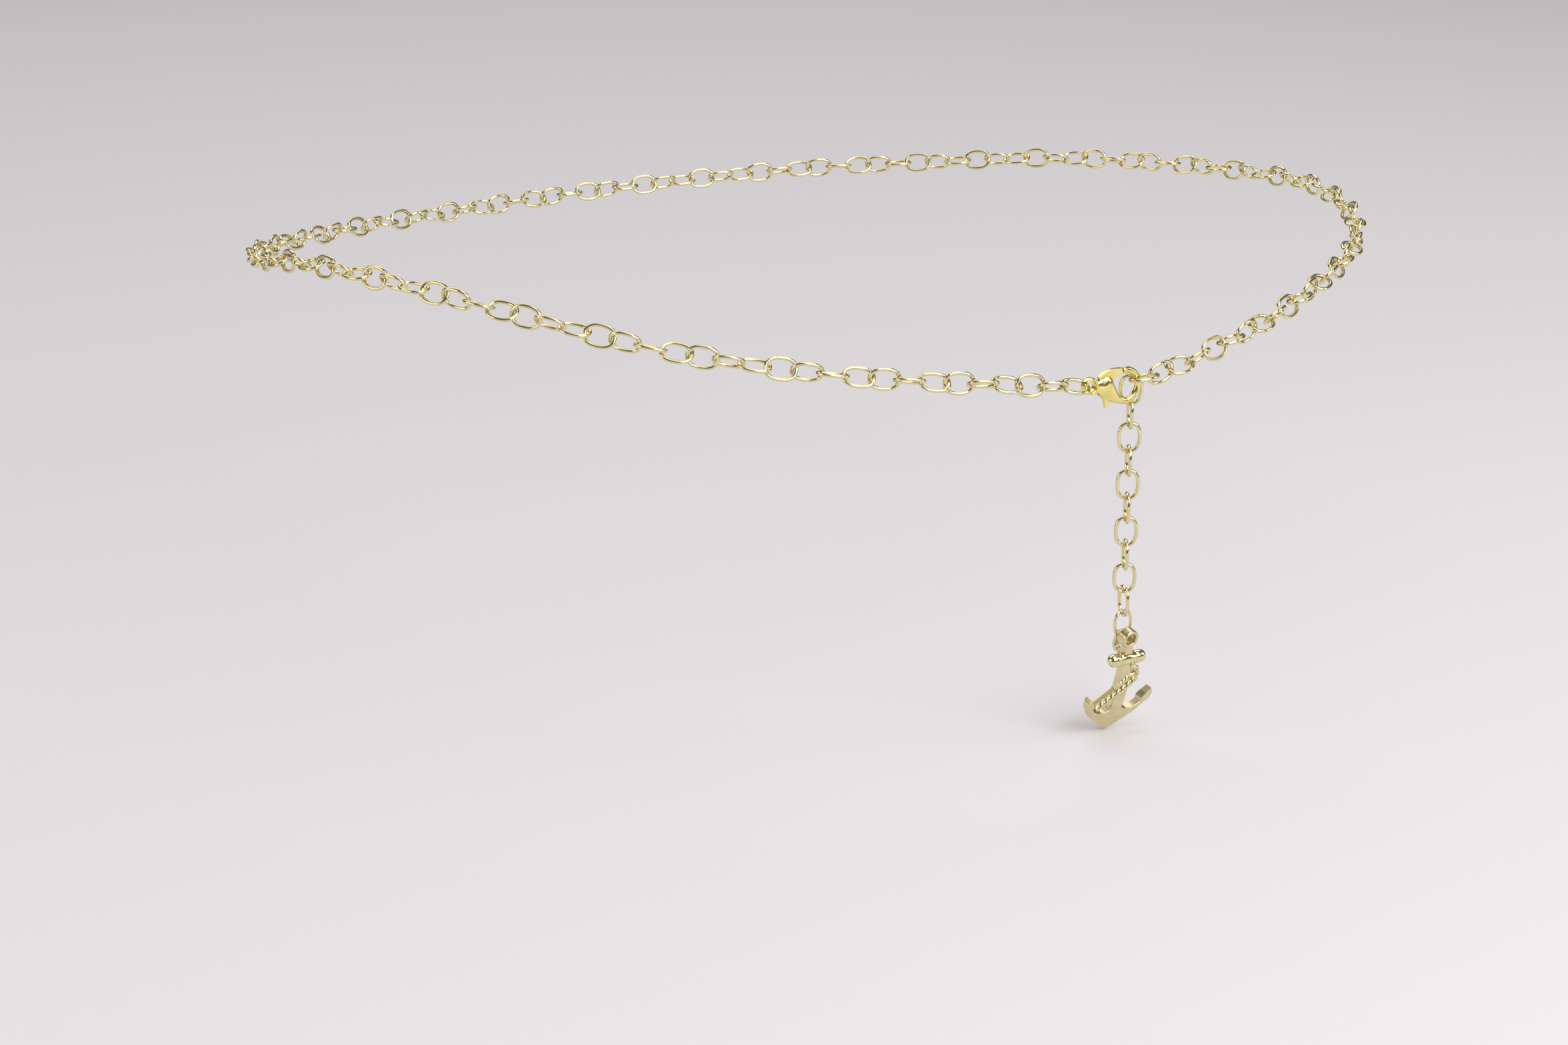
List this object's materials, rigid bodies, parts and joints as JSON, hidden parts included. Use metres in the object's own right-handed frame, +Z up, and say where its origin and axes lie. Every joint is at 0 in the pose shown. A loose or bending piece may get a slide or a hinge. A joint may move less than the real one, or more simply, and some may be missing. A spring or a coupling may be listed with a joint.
{
  "type": "waist chain",
  "caption": "Waist chain of oval links with a sprung lobster clasp, a hanging tail and an anchor charm, shown fastened as it is worn.",
  "frame": {"origin": "middle of the loop, at the mean height of the chain, where the waist goes", "axes": "+X across the loop to the side where the clasp sits, -Y to the loop's front, +Z up"},
  "size_m": [0.3156, 0.258, 0.1242],
  "materials": {
    "chain_gold": "polished",
    "clasp_gold": "polished",
    "anchor_gold": "satin"
  },
  "bodies": {
    "chain": {"belt_left_run": "chain_gold", "belt_right_run": "chain_gold", "tail_chain": "chain_gold", "connector_link": "chain_gold", "clasp_body": "clasp_gold"},
    "lever": {"clasp_lever": "clasp_gold"},
    "charm": {"anchor": "anchor_gold"}
  },
  "joints": [
    {"name": "lever_hinge", "type": "hinge", "parent": "chain", "child": "lever", "pos_m": [0.03184, -0.12324, -0.01081], "axis": [-0.1818, 0.9833, 0], "range_deg": [0, 28], "stiffness_Nm_per_rad": 0.01, "springref_deg": -11.46},
    {"name": "anchor_swing", "type": "hinge", "parent": "chain", "child": "charm", "pos_m": [0.04159, -0.11947, -0.08068], "axis": [0.955, 0.292, -0.0523], "range_deg": [-18, 45]}
  ]
}
